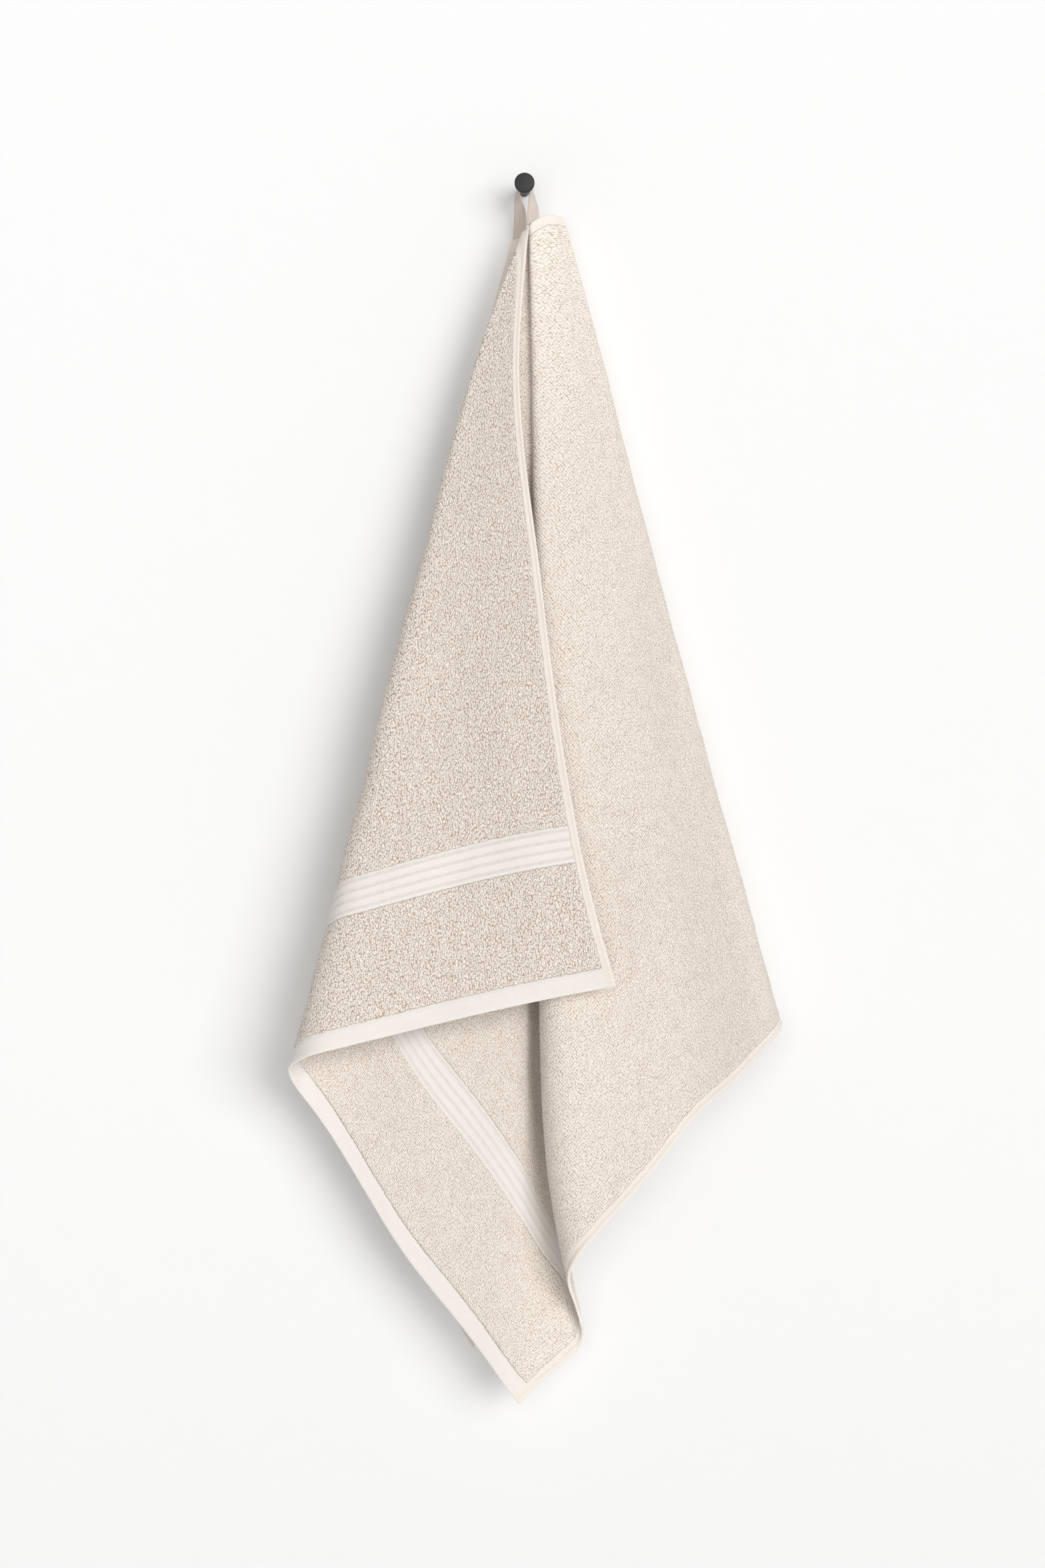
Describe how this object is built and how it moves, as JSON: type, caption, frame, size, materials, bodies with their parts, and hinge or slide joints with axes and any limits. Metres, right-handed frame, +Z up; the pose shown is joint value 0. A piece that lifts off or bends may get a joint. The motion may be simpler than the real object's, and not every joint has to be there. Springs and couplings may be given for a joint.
{
  "type": "bath towel on a hook",
  "caption": "Terry bath towel hung by its tape loop from a small round wall hook, draped in long upright folds with two flat woven borders.",
  "frame": {"origin": "centre of the hook's back face, where it meets the wall", "axes": "+Y out of the hook's back into the wall, so the towel's front faces -Y; +Z up, along the hanging cloth"},
  "size_m": [0.4162, 0.1093, 1.0441],
  "materials": {
    "terry": "looped cotton pile, warm off-white",
    "tape": "plain woven cotton tape",
    "hook_paint": "matt black"
  },
  "bodies": {
    "root": {"towel": "terry", "hanger_loop": "tape", "hook": "hook_paint"}
  },
  "joints": []
}
